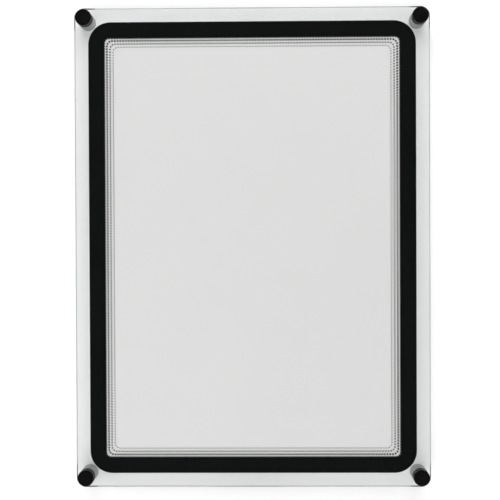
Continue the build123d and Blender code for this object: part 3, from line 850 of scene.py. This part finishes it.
plated_pin = skinned(
    "Nickel plating", (0.72, 0.69, 0.62), (0.62, 0.59, 0.52), gloss=(0.16, 0.28),
    grain_size=0.2 * mm, grain_depth=0.002 * mm, mottle_size=1 * mm, Metallic=1.0,
)
dress(plated_pin, "plated_pin", "dc_jack_pin")

# ---------------------------------------------------------------- wires
# A red and a black wire to each strip, stranded copper in smooth PVC, laid in the channel at the near end.
wire_red = skinned(
    "Red wire PVC", (0.5, 0.012, 0.01), (0.42, 0.01, 0.01), gloss=(0.28, 0.42),
    grain_size=0.3 * mm, grain_depth=0.006 * mm, mottle_size=9 * mm,
)
dress(wire_red, "wire_red", "wire_red_left", "wire_red_right")
wire_black = skinned(
    "Black wire PVC", (0.012, 0.012, 0.012), (0.02, 0.02, 0.02), gloss=(0.28, 0.42),
    grain_size=0.3 * mm, grain_depth=0.006 * mm, mottle_size=9 * mm,
)
dress(wire_black, "wire_black", "wire_black_left", "wire_black_right")

# ---------------------------------------------------------------- printed border
# Matt black ink, screen printed on the back of the cover sheet. Its inner edge breaks up into scallops and
# three rows of ever smaller dots, which soften the step from black to the bright window.
ink_low, ink_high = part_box("printed_border")
ink_film = 0.02 * mm
dot_spacing = 2.72 * mm
scallop_line = 15.15 * mm
scallop_corner_r = 5.5 * mm
scallop_row = (15.45 * mm, 1.3 * mm)
dot_rows = [(18.45 * mm, 0.98 * mm), (21.5 * mm, 0.8 * mm), (24.6 * mm, 0.58 * mm)]
row_corner_r = 5.3 * mm
ink_bottom, ink_top = ink_low.z, ink_high.z - ink_film


def inset_corners(inset, bottom, top):
    """The lowest and highest corners of a block set in from the border's outer edge."""
    step = Vector((inset, inset, 0))
    return Vector((ink_low.x, ink_low.y, bottom)) + step, Vector((ink_high.x, ink_high.y, top)) - step


def row_path(inset):
    """A closed curve that runs round the border at this distance from its outer edge, and its length."""
    low, high = inset_corners(inset, 0, 0)
    clear_bench()
    bpy.ops.mesh.primitive_plane_add(size=1)
    path = bpy.context.object
    path.scale = (high.x - low.x, high.y - low.y, 1)
    path = take_up("row_path")
    open_for_edit()
    bpy.ops.mesh.bevel(offset=row_corner_r, segments=12, affect="VERTICES")
    bpy.ops.mesh.select_all(action="SELECT")
    bpy.ops.mesh.delete(type="ONLY_FACE")
    bpy.ops.object.mode_set(mode="OBJECT")
    bpy.ops.object.convert(target="CURVE")
    path = bpy.context.object
    path.data.dimensions = "2D"
    return path, path.data.splines[0].calc_length()


def dot_row(name, inset, dot_r, sides):
    """Ink dots spaced evenly round the border."""
    path, length = row_path(inset)
    clear_bench()
    bpy.ops.mesh.primitive_cylinder_add(vertices=sides, radius=dot_r, depth=ink_top - ink_bottom)
    row = take_up(name)
    repeat = row.modifiers.new("row", "ARRAY")
    repeat.count = round(length / dot_spacing)
    repeat.use_relative_offset = False
    repeat.use_constant_offset = True
    repeat.constant_offset_displace = (length / repeat.count, 0, 0)
    follow = row.modifiers.new("path", "CURVE")
    follow.object = path
    follow.deform_axis = "POS_X"
    apply_modifiers(row)
    bpy.data.objects.remove(path)
    row.data.transform(Matrix.Translation((0, 0, (ink_bottom + ink_top) / 2)))
    return row


print_corners = inset_corners(0, ink_bottom, ink_top)
ink_border = rounded_block("screen_print", *print_corners, border_corner_r, segments=32)
opening_corners = inset_corners(scallop_line, ink_bottom - mm, ink_top + mm)
opening = rounded_block("opening_cutter", *opening_corners, scallop_corner_r, segments=12)
combine(ink_border, [opening], "DIFFERENCE")
combine(ink_border, [dot_row("scallops", *scallop_row, 20)], "UNION")
ink_dots = [dot_row("dots", *row, 12) for row in dot_rows]
ink_border = join([ink_border, *ink_dots])
black_print, tree, shader, place = new_finish(
    "Screen-printed ink", (0.004, 0.0045, 0.0045), 0.55, Specular_IOR_Level=0.03
)
mesh_size = 0.12 * mm
screen = flat_cells(tree, place, mesh_size, 0.1)
grain = use_effect(tree, grain_effect, Place=place, Grain_Size=0.3 * mm, Mottle_Size=35 * mm)
ink_colour = tint(tree, grain["Mottle"], (0.0035, 0.004, 0.004), (0.0065, 0.007, 0.007))
tree.links.new(ink_colour, shader.inputs["Base Color"])
tree.links.new(rescale(tree, grain["Mottle"], 0.3, 0.7, 0.45, 0.62), shader.inputs["Roughness"])
film = calculate(tree, "MULTIPLY_ADD", screen, 0.5, grain["Grain"])
relief(tree, shader, film, 0.003 * mm)
fit(ink_border, black_print, "cover", "black_print", "printed_border")

# ---------------------------------------------------------------- cover sheet
# The upper sheet: clear acrylic over the whole face, with the print on its back. It lifts off once the caps
# are unscrewed.
cover_sheet, cover_bits = sheet_blank("cut_cover_sheet", "cover_sheet")
combine(cover_sheet, cover_bits, "DIFFERENCE")
clear_bench()
cover_sheet.select_set(True)
bpy.ops.object.shade_smooth_by_angle(angle=radians(25))
fit(cover_sheet, sheet_acrylic, "cover", "clear_acrylic", "cover_sheet")

# ---------------------------------------------------------------- cap washers
# Thin rings of milky nylon between the caps and the cover sheet.
cap_washer = stamped_ring("stamped_cap_washer", "cap_washer_near_left", 4.05 * mm, 0.1 * mm)
washer_nylon = skinned(
    "Milky nylon", (0.72, 0.73, 0.72), (0.66, 0.67, 0.66), gloss=(0.35, 0.5),
    grain_size=0.2 * mm, grain_depth=0.004 * mm, mottle_size=4 * mm,
)
fit_at_posts(cap_washer, washer_nylon, "washer_{}", "washer_nylon", "cap_washer_{}")

# ---------------------------------------------------------------- caps
# The four black discs that hold the sheets down: turned aluminium, black anodised, with a rounded upper
# edge, drilled below for the stud that is fixed in each.
cap_r, cap_bottom, cap_top = reach("cap_near_left")
cap_bottom += 0.02 * mm  # the cap turns just clear of its washer
cap_edge_r = 0.6 * mm
cap_edge_steps = 5
cap_lower_edge = 0.15 * mm
cap_hole_r = 4.02 * mm
cap_hole_depth = 2.2 * mm
cap_edge = [
    (cap_r - cap_edge_r * (1 - cos(angle)), cap_top - cap_edge_r * (1 - sin(angle)))
    for angle in [i * pi / 2 / cap_edge_steps for i in range(cap_edge_steps + 1)]
]
cap_outline = [
    (0, cap_bottom + cap_hole_depth),
    (cap_hole_r, cap_bottom + cap_hole_depth),
    (cap_hole_r, cap_bottom),
    (cap_r - cap_lower_edge, cap_bottom),
    (cap_r, cap_bottom + cap_lower_edge),
    *cap_edge,
    (0, cap_top),
]
cap = turned("turned_cap", cap_outline)
clear_bench()
cap.select_set(True)
bpy.ops.object.shade_smooth_by_angle(angle=radians(25))
cap_black = turned_metal(
    "Black anodised aluminium", (0.004, 0.004, 0.0042), (0.008, 0.008, 0.008), gloss=(0.26, 0.36),
    spacing=0.14 * mm, depth=0.003 * mm, metallic=0.0, Specular_IOR_Level=0.15,
)
fit_at_posts(cap, cap_black, "cap_{}", "cap_black", "cap_{}")

# ---------------------------------------------------------------- studs
# Steel studs, threaded from end to end, glued into the caps and screwed into the posts.
stud_r, stud_bottom, stud_top = reach("stud_near_left")
stud_chamfer = 0.8 * mm
stud = threaded_rod("threaded_stud", stud_r, 1.25 * mm, stud_bottom, stud_top, stud_chamfer)
clear_bench()
stud.select_set(True)
bpy.ops.object.shade_smooth_by_angle(angle=radians(25))
stud_steel = turned_metal(
    "Zinc-plated stud steel", (0.55, 0.55, 0.56), (0.42, 0.41, 0.38), gloss=(0.24, 0.36),
    spacing=0.12 * mm, depth=0.003 * mm,
)
fit_at_posts(stud, stud_steel, "cap_{}", "stud_steel", "stud_{}")

# ---------------------------------------------------------------- studio
# A pale seamless floor and four soft boxes, kept out of every reflection as a polariser does, inside a
# dim tent. The camera looks almost straight down on the table.
clear_bench()
bpy.ops.mesh.primitive_circle_add(vertices=96, radius=6.0, fill_type="NGON")
floor = take_up("studio_floor")
floor_paper, tree, shader, place = new_finish("Seamless paper", (0.9, 0.9, 0.9), 0.8)
grain = use_effect(tree, grain_effect, Place=place, Grain_Size=0.8 * mm, Mottle_Size=0.4)
paper_colour = tint(tree, grain["Mottle"], (0.89, 0.89, 0.89), (0.91, 0.91, 0.91))
tree.links.new(paper_colour, shader.inputs["Base Color"])
shader.inputs["Emission Color"].default_value = (1, 1, 1, 1)
shader.inputs["Emission Strength"].default_value = 0.16
floor.data.materials.append(floor_paper)

sky = bpy.data.worlds.new("Studio tent")
sky.use_nodes = True
bpy.context.scene.world = sky
tree = sky.node_tree
direction = place_node(tree, "ShaderNodeTexCoord").outputs["Generated"]
upward = place_node(tree, "ShaderNodeSeparateXYZ", Vector=direction).outputs["Z"]
tent_opening = cos(radians(20))
tent_wall = cos(radians(40))
glow = rescale(tree, upward, tent_wall, tent_opening, 0.08, 0.01)
far_floor = 0.17
seen = place_node(tree, "ShaderNodeLightPath").outputs["Is Camera Ray"]
backdrop = calculate(tree, "MULTIPLY", seen, far_floor)
tree.nodes["Background"].inputs["Color"].default_value = (1, 1, 1, 1)
tree.links.new(calculate(tree, "MAXIMUM", glow, backdrop), tree.nodes["Background"].inputs["Strength"])


def soft_box(name, place, width, power):
    """A square area light at this place, turned towards the middle of the table."""
    lamp = bpy.data.lights.new(name, "AREA")
    lamp.size = width
    lamp.energy = power
    holder = bpy.data.objects.new(name, lamp)
    bpy.context.scene.collection.objects.link(holder)
    holder.location = place
    holder.rotation_euler = (Vector((0, 0, 0)) - Vector(place)).to_track_quat("-Z", "Y").to_euler()
    holder.visible_glossy = False
    holder.visible_transmission = False


soft_box("far_soft_box", (0.0, 1.6, 1.0), 2.0, 42)
soft_box("near_soft_box", (0.0, -1.6, 1.0), 2.0, 27.5)
soft_box("right_soft_box", (1.5, 0.0, 1.0), 2.0, 11)
soft_box("left_soft_box", (-1.05, -0.5, 0.9), 1.2, 8.2)

camera = bpy.data.objects.new("overhead_camera", bpy.data.cameras.new("overhead_camera"))
bpy.context.scene.collection.objects.link(camera)
camera.location = (0.0150, 0.0087, 1.0801)
camera.rotation_euler = (radians(-0.6073), radians(0.9487), radians(-0.2421))
camera.data.lens = 76.8
camera.data.clip_start = 0.01
bpy.context.scene.camera = camera
bpy.context.scene.view_settings.view_transform = "Standard"
